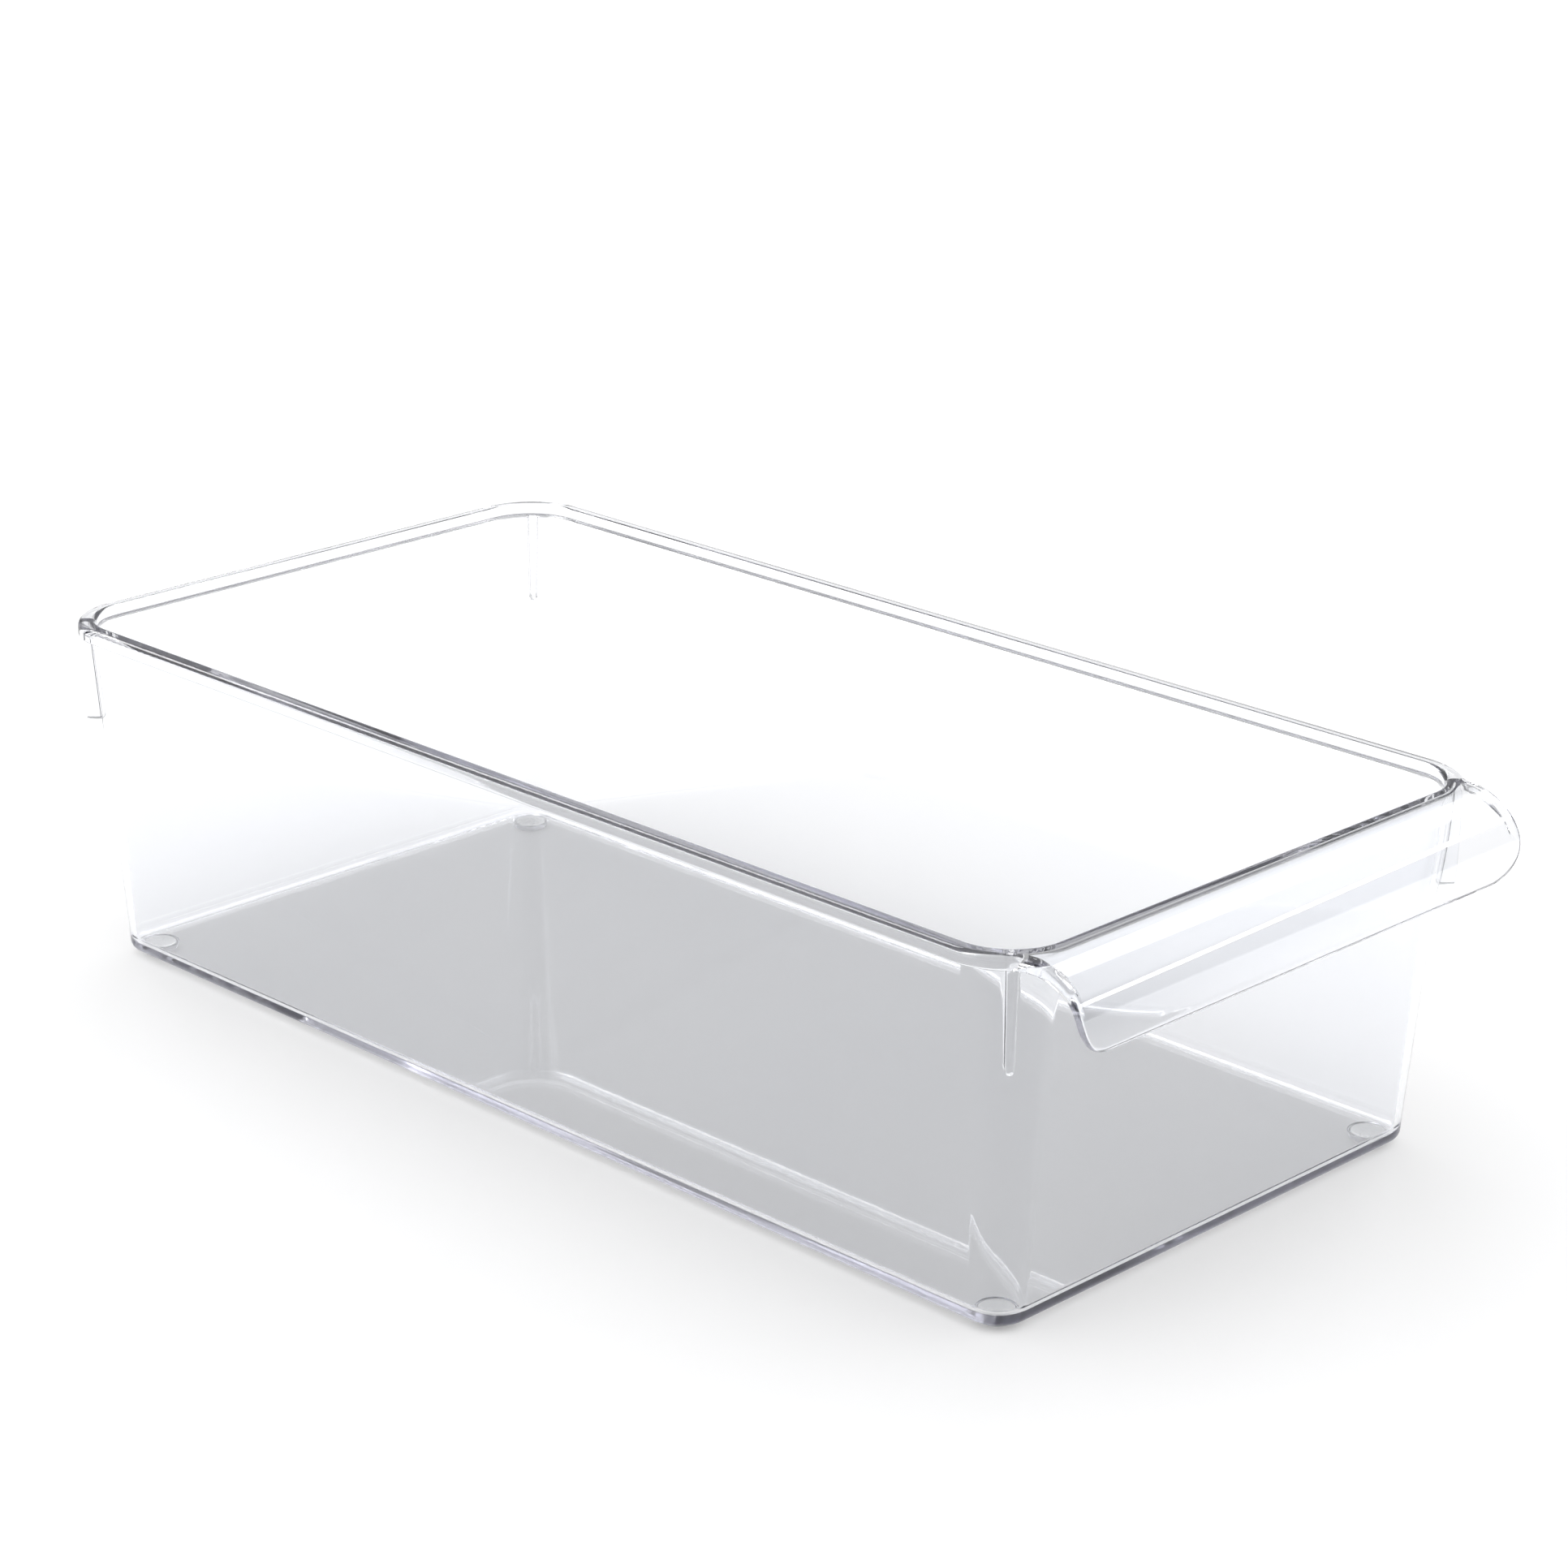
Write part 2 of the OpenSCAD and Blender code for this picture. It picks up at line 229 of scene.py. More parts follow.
def outer_skin(z):
    """Points of the wall's outer face at heights z, shape (N, k), standing out into the ribs."""
    face = outer_face(z)
    skin = wall(face, z)
    taper = np.clip((z - RIB_BOTTOM_Z) / (TOP_Z - RIM_H - RIB_BOTTOM_Z), 0, 1)
    straight = (RIB_BOTTOM_W + (RIB_TOP_W - RIB_BOTTOM_W) * taper) / 2
    tip = RIB_BOTTOM_W / 2
    below = np.clip(RIB_BOTTOM_Z + tip - z, 0, tip)
    half_w = np.maximum(np.where(below > 0, np.sqrt(tip ** 2 - below ** 2), straight), 0.12)
    above = z - RIB_BOTTOM_Z
    tip_round = np.interp(above, [0, 0.1, 0.3], [0.3, 0.08, 0.0])
    tip_root = np.interp(-above, [0.12, 0.3, 0.6], [0.3, 0.08, 0.0])
    settled = smooth(-above, 0.3, 5.0)
    for i in np.nonzero(RIB_STEP >= 0)[0]:
        out = OUT[i]
        across = np.array([-out[1], out[0]])
        lateral = float(HEAD[i] @ across)
        offset, height = (-10, 0.0) if RIB_STEP[i] == MIDDLE else RIB_STEPS[RIB_STEP[i]]
        inside = half_w[i] * np.maximum(1 + offset / np.maximum(half_w[i], 0.5), 0)
        w = math.copysign(1, lateral) * (inside if offset < 0 else half_w[i] + offset)
        if RIB_STEP[i] == MIDDLE:
            w = np.zeros(z.shape[1])
        w = w * (1 - settled[i]) + lateral * face[i] * settled[i]
        on_wall = np.sqrt(face[i] ** 2 - w ** 2)
        at_tip = on_wall + tip_root[i] * np.clip(1 - np.abs(w) / 0.6, 0, 1)
        standing = FACE_TOP + RIB_OUT + height - tip_round[i]
        if offset > 0:
            standing = on_wall + height * np.clip(half_w[i] / 0.6, 0, 1)
        d = np.where(above[i] > -0.01, standing, at_tip)
        skin[i, :, 0:2] = AXIS[i] + out[None, :] * d[:, None] + across[None, :] * w[:, None]
    return skin


def from_edge(distance, depth):
    """Points at a distance inside the outline and a depth below the outer surface, each of shape (N, k)."""
    return rolled(EDGE[:, None, :] + INWARD[:, None, :] * distance[:, :, None], depth)


def between(a, b, count):
    """Plan points evenly from a to b, ends left out."""
    t = np.linspace(0, 1, count + 2)[1:-1][None, :, None]
    return a[:, None, :] * (1 - t) + b[:, None, :] * t


# Depth of the outline's edge: the rim's, thinning along the handle's side to the sheet's
over = np.maximum(EDGE[:, 1] - CURL_F, 0.0) / HANDLE_R
end_z = -HANDLE_R * math.sin(math.radians(BORDER_END))
drop = (HANDLE_R - RIM_H) - end_z
chord = HANDLE_R * math.cos(math.radians(BORDER_END))
inner_r = (chord ** 2 + drop ** 2) / (2 * drop)
lowered = inner_r - (HANDLE_R - RIM_H)
reach = -lowered * np.cos(over) + np.sqrt(np.maximum(inner_r ** 2 - (lowered * np.sin(over)) ** 2, 0))
border = np.where(over < math.radians(95), HANDLE_R - reach, 0.0)
EDGE_DEPTH = HANDLE_T + np.logaddexp(0.0, (border - HANDLE_T) * 6.0) / 6.0
EDGE_DEPTH = np.minimum(EDGE_DEPTH, RIM_H)
EDGE_DEPTH = np.where(HANDLE > 0, EDGE_DEPTH, RIM_H)
SHEET_DEPTH = RIM_H + (HANDLE_T - RIM_H) * HANDLE
full = (EDGE_DEPTH - HANDLE_T) / (RIM_H - HANDLE_T)
R1 = SHEET_EDGE_R + (SHOULDER_OUT_R - SHEET_EDGE_R) * full
R2 = SHEET_EDGE_R + (RIM_EDGE_R - SHEET_EDGE_R) * full
IN_RIB = np.array([k >= 0 and (k == MIDDLE or RIB_STEPS[k][0] < 0) for k in RIB_STEP])
ROOT_R = np.where(IN_RIB, 0.3, RIM_ROOT_R + (HANDLE_ROOT_R - RIM_ROOT_R) * HANDLE)
SUPPORT = 0.35
SHEET_ROWS = 26

col = lambda values: np.asarray(values, float)[:, None]
parts = []

# Where the sheet's underside meets the wall, and the border's step, which the space beside the blend narrows
under_z = col(TOP_Z - SHEET_DEPTH)
finish_z = under_z - col(ROOT_R)
knee = outer_skin(under_z)
root_end = knee[:, 0, 0:2] + OUT * col(ROOT_R)
room = np.sum((root_end - EDGE) * INWARD, axis=1)
STEP_END = np.where(IN_RIB, 0.75, np.minimum(1.4 + (BORDER_W - 1.4) * HANDLE, 0.8 * room))
STEP_RUN = np.where(IN_RIB, 0.08, np.minimum(0.5, 0.6 * (STEP_END - R2)))

# Inner floor edge and fillet
fillet_x = inner_face(FLOOR_Z) + FILLET_R * (SIN_L - 1) / COS_L
parts.append(wall(np.array([fillet_x - SUPPORT]), np.array([FLOOR_Z])))
a = np.radians(np.linspace(-90, -math.degrees(LEAN_ANGLE), 10))
parts.append(wall(fillet_x + FILLET_R * np.cos(a), FLOOR_Z + FILLET_R + FILLET_R * np.sin(a)))
# Inner face of the wall
low_z = FLOOR_Z + FILLET_R * (1 - SIN_L)
high_z = TOP_Z - SHOULDER_IN_R * (1 - SIN_L)
z = np.concatenate([[low_z + SUPPORT], np.linspace(low_z, high_z, 8)[1:-1], [high_z - SUPPORT]])
parts.append(wall(inner_face(z), z))
# Inner shoulder
shoulder_x = inner_face(TOP_Z) + SHOULDER_IN_R * (1 - SIN_L) / COS_L
a = np.radians(np.linspace(180 - math.degrees(LEAN_ANGLE), 90, 10))
parts.append(wall(shoulder_x + SHOULDER_IN_R * np.cos(a), TOP_Z - SHOULDER_IN_R + SHOULDER_IN_R * np.sin(a)))
# Top, out to the outline
top_root = AXIS + HEAD * shoulder_x
top_end = EDGE + INWARD * (R1[:, None] + SUPPORT * 0.6)
parts.append(rolled(between(top_root, top_end, SHEET_ROWS), 0.0))
parts.append(from_edge(col(R1 + SUPPORT * 0.6), np.zeros((N, 1))))
# Outer shoulder, edge and lower edge
a = np.radians(np.linspace(0, 90, 11))[None, :]
parts.append(from_edge(col(R1) * (1 - np.sin(a)), col(R1) * (1 - np.cos(a))))
t = np.array([[0.33, 0.67]])
parts.append(from_edge(np.zeros((N, 2)), col(R1) + col(EDGE_DEPTH - R1 - R2 + 1e-4) * t))
a = np.radians(np.linspace(0, 90, 7))[None, :]
parts.append(from_edge(col(R2) * (1 - np.cos(a)), col(EDGE_DEPTH - R2) + col(R2) * np.sin(a)))
# Underside of the border, and its step up to the sheet
t = np.array([[0.35, 0.8]])
parts.append(from_edge(col(R2) + col(STEP_END - STEP_RUN - R2) * t, np.repeat(col(EDGE_DEPTH), 2, axis=1)))
t = np.linspace(0, 1, 9)[None, :]
parts.append(from_edge(col(STEP_END - STEP_RUN) + col(STEP_RUN) * t,
                       col(EDGE_DEPTH) + col(SHEET_DEPTH - EDGE_DEPTH) * smooth(t, 0, 1)))
# Underside of the sheet, back to the wall
step_end = EDGE + INWARD * col(STEP_END)
parts.append(rolled(between(step_end, root_end, SHEET_ROWS), col(SHEET_DEPTH)))
# Root fillet
start = rolled(root_end[:, None, :], col(SHEET_DEPTH))
t = np.linspace(0, 1, 7)[None, :, None]
parts.append(start * (1 - t) ** 2 + knee * 2 * t * (1 - t) + outer_skin(finish_z) * t ** 2)
# Outer face of the wall, with more rows at the ribs' lower ends
edge_tan_z = UNDERSIDE_Z + EDGE_R * (1 - SIN_L)
t = np.array([[0.06, 0.35, 0.68]])
upper_z = finish_z + (RIB_BOTTOM_Z + 7 - finish_z) * t
rib_z = RIB_BOTTOM_Z + np.array([7.0, 4.0, 2.0, 1.0, 0.62, 0.3, 0.1, 0.0, -0.12, -0.3, -0.6, -1.6, -5.0])
lower_z = np.linspace(RIB_BOTTOM_Z - 5, edge_tan_z + SUPPORT, 5)[1:]
z = np.concatenate([rib_z, lower_z])
parts.append(outer_skin(np.hstack([upper_z, np.repeat(z[None, :], N, axis=0)])))
# Lower outer edge and underside
edge_x = BASE_CORNER_R + EDGE_R * (SIN_L - 1) / COS_L
a = np.radians(np.linspace(-math.degrees(LEAN_ANGLE), -90, 12))
parts.append(wall(edge_x + EDGE_R * np.cos(a), UNDERSIDE_Z + EDGE_R + EDGE_R * np.sin(a)))
parts.append(wall(np.array([edge_x - SUPPORT]), np.array([UNDERSIDE_Z])))

grid = np.concatenate(parts, axis=1)
grid[:, :, 1] *= -1
ROWS = grid.shape[1]


# ---- Mesh helpers ----
def make_object(name, verts, faces, material):
    mesh = bpy.data.meshes.new(name)
    mesh.from_pydata([tuple(v) for v in np.asarray(verts) * MM], [], faces)
    mesh.validate()
    mesh.shade_smooth()
    obj = bpy.data.objects.new(name, mesh)
    bpy.context.scene.collection.objects.link(obj)
    mesh.materials.append(material)
    return obj


def fill(verts, loops):
    """Triangles, facing up, that fill the flat area inside the first loop and outside the other ones."""
    coords, edges, back = [], [], []
    for loop in loops:
        base = len(coords)
        coords += [Vector(verts[i][:2]) for i in loop]
        edges += [(base + k, base + (k + 1) % len(loop)) for k in range(len(loop))]
        back += list(loop)
    made = geometry.delaunay_2d_cdt(coords, edges, [], 1, 1e-6)
    origin = [group[0] for group in made[3]]
    holes = [set(loop) for loop in loops[1:]]
    tris = []
    for tri in made[2]:
        ids = [back[origin[k]] for k in tri]
        if any(hole.issuperset(ids) for hole in holes):
            continue
        p = [verts[i] for i in ids]
        area = (p[1][0] - p[0][0]) * (p[2][1] - p[0][1]) - (p[2][0] - p[0][0]) * (p[1][1] - p[0][1])
        tris.append(ids if area > 0 else ids[::-1])
    return tris


def ring(verts, cx, cy, r, z, count):
    """Adds a level circle of points and returns their numbers."""
    base = len(verts)
    for k in range(count):
        a = 2 * math.pi * k / count
        verts.append((cx + r * math.cos(a), cy + r * math.sin(a), z))
    return list(range(base, base + count))


def bridge(faces, a, b):
    n = len(a)
    for k in range(n):
        faces.append((a[k], a[(k + 1) % n], b[(k + 1) % n], b[k]))


def build_tub(material):
    verts = [tuple(p) for p in grid.reshape(-1, 3)]
    faces = []
    for i in range(N):
        nxt = (i + 1) % N
        for j in range(ROWS - 1):
            faces.append((i * ROWS + j, nxt * ROWS + j, nxt * ROWS + j + 1, i * ROWS + j + 1))
    floor_loop = [i * ROWS for i in range(N)]
    base_loop = [i * ROWS + ROWS - 1 for i in range(N)]
    faces += fill(verts, [floor_loop])
    holes = []
    seat_r = FOOT_D / 2 + SEAT_GAP
    for node in FOOT_NODES:
        lo, hi = (np.array(v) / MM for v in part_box(node))
        cx, cy = (lo[0] + hi[0]) / 2, (lo[1] + hi[1]) / 2
        rims = [ring(verts, cx, cy, r, z, SEAT_POINTS) for r, z in (
            (seat_r + 0.22, UNDERSIDE_Z), (seat_r + 0.1, UNDERSIDE_Z), (seat_r + 0.03, UNDERSIDE_Z + 0.03),
            (seat_r, UNDERSIDE_Z + 0.1), (seat_r, SEAT_Z - 0.1), (seat_r - 0.03, SEAT_Z - 0.03),
            (seat_r - 0.1, SEAT_Z), (seat_r - 0.22, SEAT_Z), (seat_r * 0.5, SEAT_Z))]
        holes.append(rims[0])
        for low, high in zip(rims, rims[1:]):
            bridge(faces, high, low)
        verts.append((cx, cy, SEAT_Z))
        centre, last = len(verts) - 1, rims[-1]
        for k in range(len(last)):
            faces.append((last[(k + 1) % len(last)], last[k], centre))
    faces += [tri[::-1] for tri in fill(verts, [base_loop] + holes)]
    return make_object("tub_clear_moulding", verts, faces, material)


FOOT_NODES = ["foot_front_left", "foot_front_right", "foot_rear_left", "foot_rear_right"]
DISC_NODES = ["foot_adhesive_front_left", "foot_adhesive_front_right",
              "foot_adhesive_rear_left", "foot_adhesive_rear_right"]


def link(tree, a, b):
    tree.links.new(a, b)


def clear_material(name, tint, ior, rough, wave, grain, lamp_tint, absorb):
    """See-through moulding: a refracting skin with slow waves and fine grain, tinted by its thickness.

    tint: two colours of the skin; rough: least and most roughness; wave and grain: noise scale and depth;
    lamp_tint: how much lamp light passes an upright and a level face; absorb: colour and density inside.
    """
    mat = bpy.data.materials.new(name)
    mat.use_nodes = True
    tree = mat.node_tree
    nodes = tree.nodes
    nodes.clear()
    out = nodes.new("ShaderNodeOutputMaterial")
    skin = nodes.new("ShaderNodeBsdfPrincipled")
    skin.inputs["Transmission Weight"].default_value = 1.0
    skin.inputs["IOR"].default_value = ior
    place = nodes.new("ShaderNodeTexCoord")
    flow = nodes.new("ShaderNodeTexNoise")
    flow.inputs["Scale"].default_value = wave[0]
    flow.inputs["Detail"].default_value = 2.0
    link(tree, place.outputs["Object"], flow.inputs["Vector"])
    fine = nodes.new("ShaderNodeTexNoise")
    fine.inputs["Scale"].default_value = grain[0]
    fine.inputs["Detail"].default_value = 4.0
    link(tree, place.outputs["Object"], fine.inputs["Vector"])
    spread = nodes.new("ShaderNodeMapRange")
    spread.inputs["From Min"].default_value = 0.3
    spread.inputs["From Max"].default_value = 0.7
    spread.inputs["To Min"].default_value = rough[0]
    spread.inputs["To Max"].default_value = rough[1]
    link(tree, fine.outputs["Fac"], spread.inputs["Value"])
    link(tree, spread.outputs["Result"], skin.inputs["Roughness"])
    shade = nodes.new("ShaderNodeMix")
    shade.data_type = "RGBA"
    shade.inputs["A"].default_value = (*tint[0], 1)
    shade.inputs["B"].default_value = (*tint[1], 1)
    link(tree, flow.outputs["Fac"], shade.inputs["Factor"])
    link(tree, shade.outputs["Result"], skin.inputs["Base Color"])
    waves = nodes.new("ShaderNodeBump")
    waves.inputs["Strength"].default_value = 1.0
    waves.inputs["Distance"].default_value = wave[1]
    link(tree, flow.outputs["Fac"], waves.inputs["Height"])
    pits = nodes.new("ShaderNodeBump")
    pits.inputs["Strength"].default_value = 1.0
    pits.inputs["Distance"].default_value = grain[1]
    link(tree, fine.outputs["Fac"], pits.inputs["Height"])
    link(tree, waves.outputs["Normal"], pits.inputs["Normal"])
    link(tree, pits.outputs["Normal"], skin.inputs["Normal"])
    rays = nodes.new("ShaderNodeLightPath")
    lamps = nodes.new("ShaderNodeBsdfTransparent")
    shape = nodes.new("ShaderNodeNewGeometry")
    level = nodes.new("ShaderNodeSeparateXYZ")
    link(tree, shape.outputs["Normal"], level.inputs[0])
    flat = nodes.new("ShaderNodeMath")
    flat.operation = "ABSOLUTE"
    link(tree, level.outputs["Z"], flat.inputs[0])
    dim = nodes.new("ShaderNodeMapRange")
    dim.inputs["To Min"].default_value = lamp_tint[0]
    dim.inputs["To Max"].default_value = lamp_tint[1]
    link(tree, flat.outputs[0], dim.inputs["Value"])
    link(tree, dim.outputs["Result"], lamps.inputs["Color"])
    mix = nodes.new("ShaderNodeMixShader")
    link(tree, rays.outputs["Is Shadow Ray"], mix.inputs[0])
    link(tree, skin.outputs[0], mix.inputs[1])
    link(tree, lamps.outputs[0], mix.inputs[2])
    link(tree, mix.outputs[0], out.inputs["Surface"])
    if absorb:
        body = nodes.new("ShaderNodeVolumeAbsorption")
        body.inputs["Color"].default_value = (*absorb[0], 1)
        body.inputs["Density"].default_value = absorb[1]
        link(tree, body.outputs[0], out.inputs["Volume"])
    return mat


def lathe(name, profile, centre, material, count=96, wobble=0.0, phase=0.0):
    """A closed round piece from its profile: (radius, height) from the bottom's middle to the top's."""
    verts, faces = [], []
    inner = profile[1:-1]
    for r, z in inner:
        for k in range(count):
            a = 2 * math.pi * k / count
            edge = r / max(p[0] for p in inner)
            rr = r * (1 - wobble * edge * (1 + math.sin(5 * a + phase) + 0.6 * math.sin(13 * a - phase)) / 2)
            verts.append((centre[0] + rr * math.cos(a), centre[1] + rr * math.sin(a), z))
    for j in range(len(inner) - 1):
        for k in range(count):
            n = (k + 1) % count
            faces.append((j * count + k, j * count + n, (j + 1) * count + n, (j + 1) * count + k))
    verts += [(*centre, profile[0][1]), (*centre, profile[-1][1])]
    low, high, top = len(verts) - 2, len(verts) - 1, (len(inner) - 1) * count
    for k in range(count):
        n = (k + 1) % count
        faces.append((k, low, n))
        faces.append((top + k, top + n, high))
    return make_object(name, verts, faces, material)


def arc(cx, cz, r, start, end, count):
    a = np.radians(np.linspace(start, end, count))
    return [(cx + r * math.cos(v), cz + r * math.sin(v)) for v in a]


def middle(node):
    lo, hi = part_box(node)
    return (lo.x + hi.x) / 2 / MM, (lo.y + hi.y) / 2 / MM


plastic = clear_material("clear_moulded_plastic", tint=((0.985, 0.99, 1.0), (0.965, 0.975, 0.995)), ior=1.57,
                         rough=(0.0, 0.02), wave=(9.0, 0.00001), grain=(900.0, 0.0000006),
                         lamp_tint=(0.99, 0.965), absorb=((0.55, 0.55, 0.64), 6.0))
rubber = clear_material("clear_soft_bumper", tint=((0.95, 0.95, 0.955), (0.9, 0.905, 0.915)), ior=1.42,
                        rough=(0.1, 0.26), wave=(240.0, 0.0001), grain=(1500.0, 0.000004),
                        lamp_tint=(0.92, 0.9), absorb=((0.6, 0.6, 0.62), 120.0))
glue = clear_material("clear_adhesive_disc", tint=((0.96, 0.96, 0.95), (0.9, 0.9, 0.88)), ior=1.47,
                      rough=(0.2, 0.45), wave=(900.0, 0.00003), grain=(4000.0, 0.00001),
                      lamp_tint=(0.9, 0.88), absorb=None)

tub = build_tub(plastic)
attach(tub, "root")
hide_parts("tub")

# ---- Feet: moulded bumpers with a shallow hollow underneath, and the adhesive discs above them ----
AIR = 0.012
FOOT_EDGE_R, FOOT_TOP_R, HOLLOW = 0.55, 0.12, 0.16
foot_r, foot_top = FOOT_D / 2, foot_hi[2]
for k, (node, disc) in enumerate(zip(FOOT_NODES, DISC_NODES)):
    centre = middle(node)
    hollow = ((0, HOLLOW), (0.25, HOLLOW), (0.5, 0.11), (0.62, 0.03), (0.68, 0.0))
    profile = [(foot_r * r, z) for r, z in hollow]
    profile += arc(foot_r - FOOT_EDGE_R, FOOT_EDGE_R, FOOT_EDGE_R, -90, -4, 8)
    profile += arc(foot_r - FOOT_TOP_R - 0.03, foot_top - FOOT_TOP_R, FOOT_TOP_R, 0, 90, 5)
    profile += [(foot_r * 0.9, foot_top), (foot_r * 0.5, foot_top), (0, foot_top)]
    foot = lathe(node + "_bumper", profile, centre, rubber)
    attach(foot, "root")
    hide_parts(node)
    disc_r = (disc_hi[0] - disc_lo[0]) / 2
    low, high = disc_lo[2] + AIR, disc_hi[2] - AIR
    profile = [(0, low), (disc_r * 0.5, low), (disc_r * 0.97, low), (disc_r, low + 0.02)]
    profile += [(disc_r, high - 0.02), (disc_r * 0.97, high), (disc_r * 0.5, high), (0, high)]
    pad = lathe(disc + "_pad", profile, centre, glue, wobble=0.012, phase=1.3 * k)
    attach(pad, "root")
    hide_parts(disc)


# ---- Floor, light and camera ----
FLOOR_R, FLOOR_DROP = 7.0, 0.00002
# Painted light on the floor: distances in metres from the floor's middle, under the bin, and the emission
# strength near the bin and far from it
PAINTED_FLOOR_LIGHT_START, PAINTED_FLOOR_LIGHT_END = 0.1, 3.0
PAINTED_FLOOR_LIGHT_NEAR, PAINTED_FLOOR_LIGHT_FAR = 0.1, 0.5


def make_floor():
    """Pale floor with painted light: it emits a little light near the bin and more and more with the
    distance from it, so it is painted brighter far off and darker near the bin.
    """
    place = (0, 0, -FLOOR_DROP)
    bpy.ops.mesh.primitive_circle_add(vertices=96, radius=FLOOR_R, fill_type="NGON", location=place)
    floor = bpy.context.object
    floor.name = "studio_floor"
    mat = bpy.data.materials.new("studio_floor_painted_emission")
    mat.use_nodes = True
    skin = mat.node_tree.nodes["Principled BSDF"]
    skin.inputs["Base Color"].default_value = (0.93, 0.93, 0.935, 1)
    skin.inputs["Roughness"].default_value = 0.4
    tree = mat.node_tree
    coord = tree.nodes.new("ShaderNodeTexCoord")
    distance = tree.nodes.new("ShaderNodeVectorMath")
    distance.operation = "LENGTH"
    link(tree, coord.outputs["Object"], distance.inputs[0])
    # Painted light: emission strength that rises with the distance from the bin
    painted_floor_light = tree.nodes.new("ShaderNodeMapRange")
    painted_floor_light.interpolation_type = "SMOOTHSTEP"
    painted_floor_light.inputs["From Min"].default_value = PAINTED_FLOOR_LIGHT_START
    painted_floor_light.inputs["From Max"].default_value = PAINTED_FLOOR_LIGHT_END
    painted_floor_light.inputs["To Min"].default_value = PAINTED_FLOOR_LIGHT_NEAR
    painted_floor_light.inputs["To Max"].default_value = PAINTED_FLOOR_LIGHT_FAR
    link(tree, distance.outputs["Value"], painted_floor_light.inputs["Value"])
    skin.inputs["Emission Color"].default_value = (1, 1, 1, 1)
    link(tree, painted_floor_light.outputs["Result"], skin.inputs["Emission Strength"])
    floor.data.materials.append(mat)


def make_world():
    """White studio with black flags at both sides of the bin, greyer behind it and behind the camera."""
    world = bpy.data.worlds.new("studio")
    bpy.context.scene.world = world
    world.use_nodes = True
    tree = world.node_tree
    nodes = tree.nodes
    nodes.clear()
    coord = nodes.new("ShaderNodeTexCoord")

    def facing(direction):
        """How far the ray points in a direction, from -1 to 1."""
        dot = nodes.new("ShaderNodeVectorMath")
        dot.operation = "DOT_PRODUCT"
        dot.inputs[1].default_value = direction
        link(tree, coord.outputs["Generated"], dot.inputs[0])
        return dot.outputs["Value"]

    def calculate(operation, a, b):
        node = nodes.new("ShaderNodeMath")
        node.operation = operation
        for socket, value in zip(node.inputs, (a, b)):
            if isinstance(value, float):
                socket.default_value = value
            else:
                link(tree, value, socket)
        return node.outputs[0]

    def rise(value, low, high):
        """0 where value is below low, 1 above high; the other way round if low is the larger."""
        node = nodes.new("ShaderNodeMapRange")
        node.interpolation_type = "SMOOTHSTEP"
        node.inputs["From Min"].default_value = low
        node.inputs["From Max"].default_value = high
        link(tree, value, node.inputs["Value"])
        return node.outputs["Result"]

    sideways = calculate("ABSOLUTE", facing(SIDE), 0.0)
    away, up = facing(AWAY), facing((0, 0, 1))
    zones = ((rise(sideways, 0.78, 0.9), FLAG_TOP, FLAG_SHADE),
             (rise(away, 0.6, 0.9), BACK_TOP, BACK_SHADE),
             (rise(away, -0.5, -0.85), FRONT_TOP, FRONT_SHADE))
    light = 1.0
    for zone, top, shade in zones:
        inside = calculate("MULTIPLY", zone, rise(up, top + ZONE_EDGE, top))
        kept = calculate("SUBTRACT", 1.0, calculate("MULTIPLY", inside, 1.0 - shade))
        light = calculate("MULTIPLY", light, kept)
    seen = nodes.new("ShaderNodeLightPath").outputs["Is Camera Ray"]
    light = calculate("MAXIMUM", light, seen)
    back = nodes.new("ShaderNodeBackground")
    link(tree, calculate("MULTIPLY", light, WORLD_LIGHT), back.inputs["Strength"])
    out = nodes.new("ShaderNodeOutputWorld")
    link(tree, back.outputs[0], out.inputs["Surface"])


LAMP_AIM = Vector((0, 0, 0.05))


def make_lamp(name, place, size, power, along=None):
    """Softbox that faces the bin. Its long side runs as level as it can, or in the given direction."""
    lamp = bpy.data.lights.new(name, "AREA")
    lamp.shape = "RECTANGLE"
    lamp.size, lamp.size_y = size
    lamp.energy = power
    obj = bpy.data.objects.new(name, lamp)
    back = (Vector(place) - LAMP_AIM).normalized()
    long_side = (along or Vector((0, 0, 1)).cross(back)).normalized()
    short_side = back.cross(long_side).normalized()
    turn = Matrix((short_side.cross(back), short_side, back)).transposed()
    obj.matrix_world = Matrix.Translation(place) @ turn.to_4x4()
    bpy.context.scene.collection.objects.link(obj)


VIEW_AZ, VIEW_EL, VIEW_ROLL = 45.6974, 19.8441, 0.6052
VIEW_DISTANCE, VIEW_SHIFT_X, VIEW_SHIFT_Y = 1053.63, 12.665, 28.717
VIEW_LENS, SENSOR = 94.76, 36.0
AIM_Z = 40.0


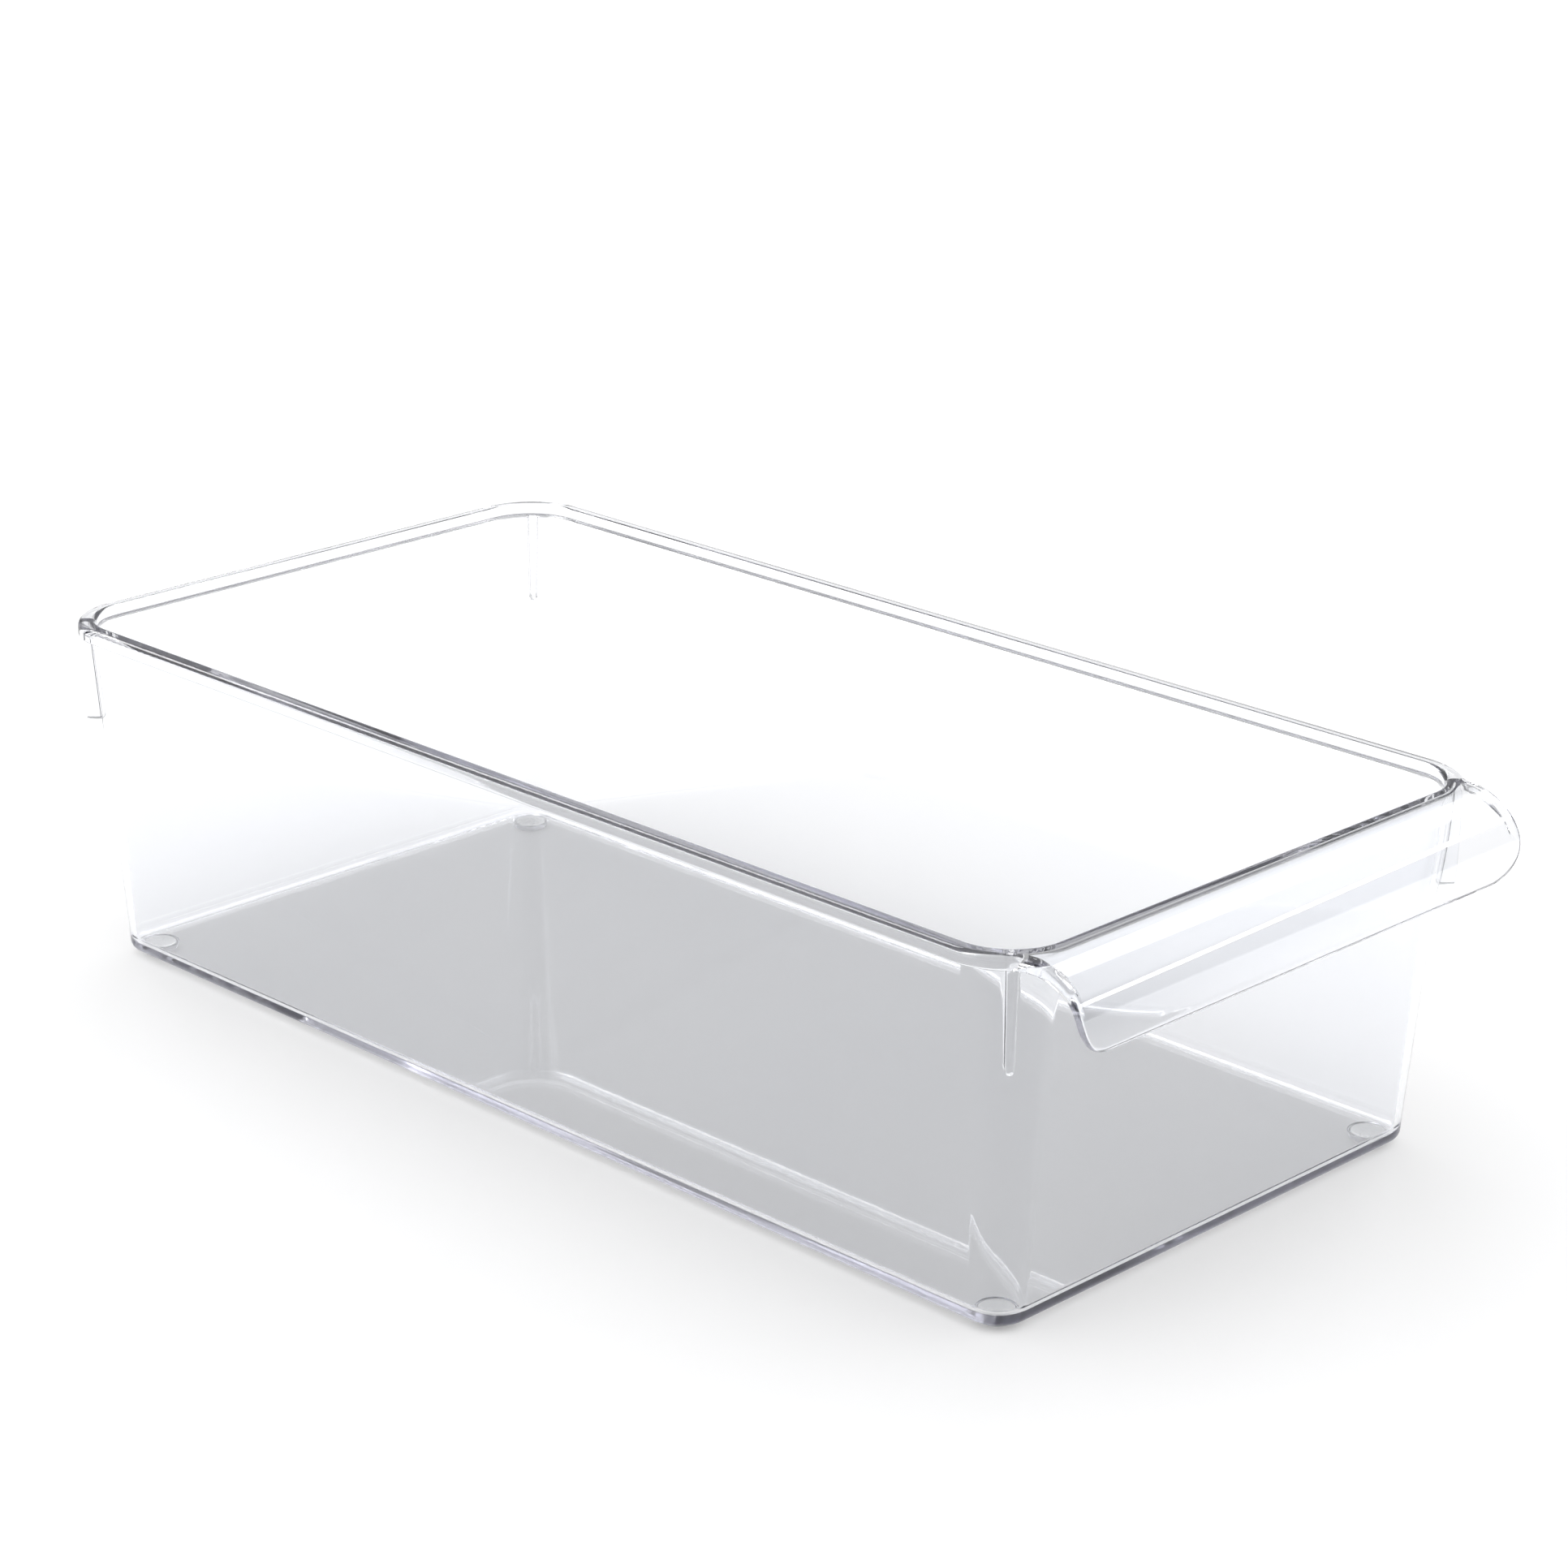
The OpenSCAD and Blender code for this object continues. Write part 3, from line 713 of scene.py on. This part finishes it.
def make_camera():
    """Camera where the photo was taken from. Returns the direction from the bin to it."""
    az, el, roll = (math.radians(v) for v in (VIEW_AZ, VIEW_EL, VIEW_ROLL))
    back = Vector((-math.sin(az) * math.cos(el), -math.cos(az) * math.cos(el), math.sin(el)))
    right = Vector((math.cos(az), -math.sin(az), 0))
    up = back.cross(right)
    right, up = right * math.cos(roll) + up * math.sin(roll), up * math.cos(roll) - right * math.sin(roll)
    aim = Vector((0, (REAR_AXIS_Y + FRONT_AXIS_Y) / 2, AIM_Z))
    place = (aim + right * VIEW_SHIFT_X + up * VIEW_SHIFT_Y + back * VIEW_DISTANCE) * MM
    data = bpy.data.cameras.new("camera")
    data.lens, data.sensor_width = VIEW_LENS, SENSOR
    cam = bpy.data.objects.new("camera", data)
    cam.matrix_world = Matrix.Translation(place) @ Matrix((right, up, back)).transposed().to_4x4()
    bpy.context.scene.collection.objects.link(cam)
    bpy.context.scene.camera = cam
    return back


LIGHT_BOUNCES = 96    # light is led down inside the walls, which takes many bounces
camera_back = make_camera()
AWAY = Vector((-camera_back.x, -camera_back.y, 0)).normalized()
SIDE = AWAY.cross(Vector((0, 0, 1)))
# The studio's zones: how high each reaches, as the sine of its elevation, and its share of the dome's light
ZONE_EDGE = 0.12
FLAG_TOP, FLAG_SHADE = 0.35, 0.03
BACK_TOP, BACK_SHADE = 0.45, 0.5
FRONT_TOP, FRONT_SHADE = 0.6, 0.04
WORLD_LIGHT = 1.04
make_floor()
make_world()
make_lamp("softbox_left", (-1.5, 0.4, 1.2), (0.8, 1.0), 4)
make_lamp("strip_right", (0.75, -0.72, 0.47), (0.9, 0.06), 1.2, Vector((185, 167, 112)))
make_lamp("softbox_back", (0.08, 1.25, 1.38), (0.9, 0.7), 13, Vector((0, 0.78, -0.36)))
make_lamp("softbox_side", (1.3, 0.05, 1.38), (0.9, 0.7), 6, Vector((0.78, 0, -0.36)))

scene = bpy.context.scene
scene.view_settings.view_transform = "Standard"
scene.cycles.max_bounces = LIGHT_BOUNCES
scene.cycles.transmission_bounces = LIGHT_BOUNCES
scene.cycles.glossy_bounces = LIGHT_BOUNCES
scene.cycles.transparent_max_bounces = 32
scene.cycles.caustics_refractive = False
scene.cycles.caustics_reflective = False
